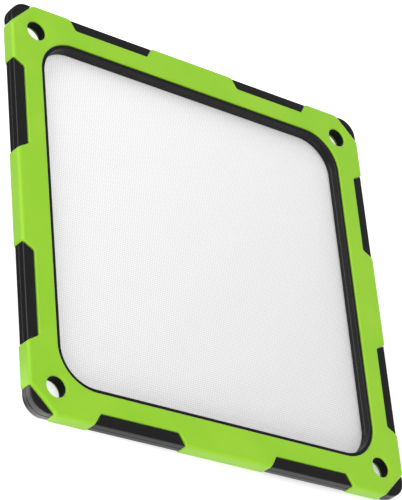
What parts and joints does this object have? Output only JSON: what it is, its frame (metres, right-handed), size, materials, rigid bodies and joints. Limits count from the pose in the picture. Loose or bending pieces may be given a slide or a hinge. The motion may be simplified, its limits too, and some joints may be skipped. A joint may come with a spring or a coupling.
{
  "type": "fan dust filter",
  "caption": "Flat square fan dust filter: fine mesh in a hard frame under a soft rubber jacket with notched sides and corner screw holes.",
  "frame": {"origin": "centre of the back face's bounding box, on the surface that the back face rests on", "axes": "+Z out of the front face, through the plate's thickness; +X and +Y along the sides"},
  "size_m": [0.121, 0.121, 0.0047],
  "materials": {
    "silicone": "satin",
    "plastic": "satin",
    "nylon": "matte"
  },
  "bodies": {
    "root": {"silicone_jacket": "silicone", "core_frame": "plastic", "filter_mesh": "nylon"}
  },
  "joints": []
}
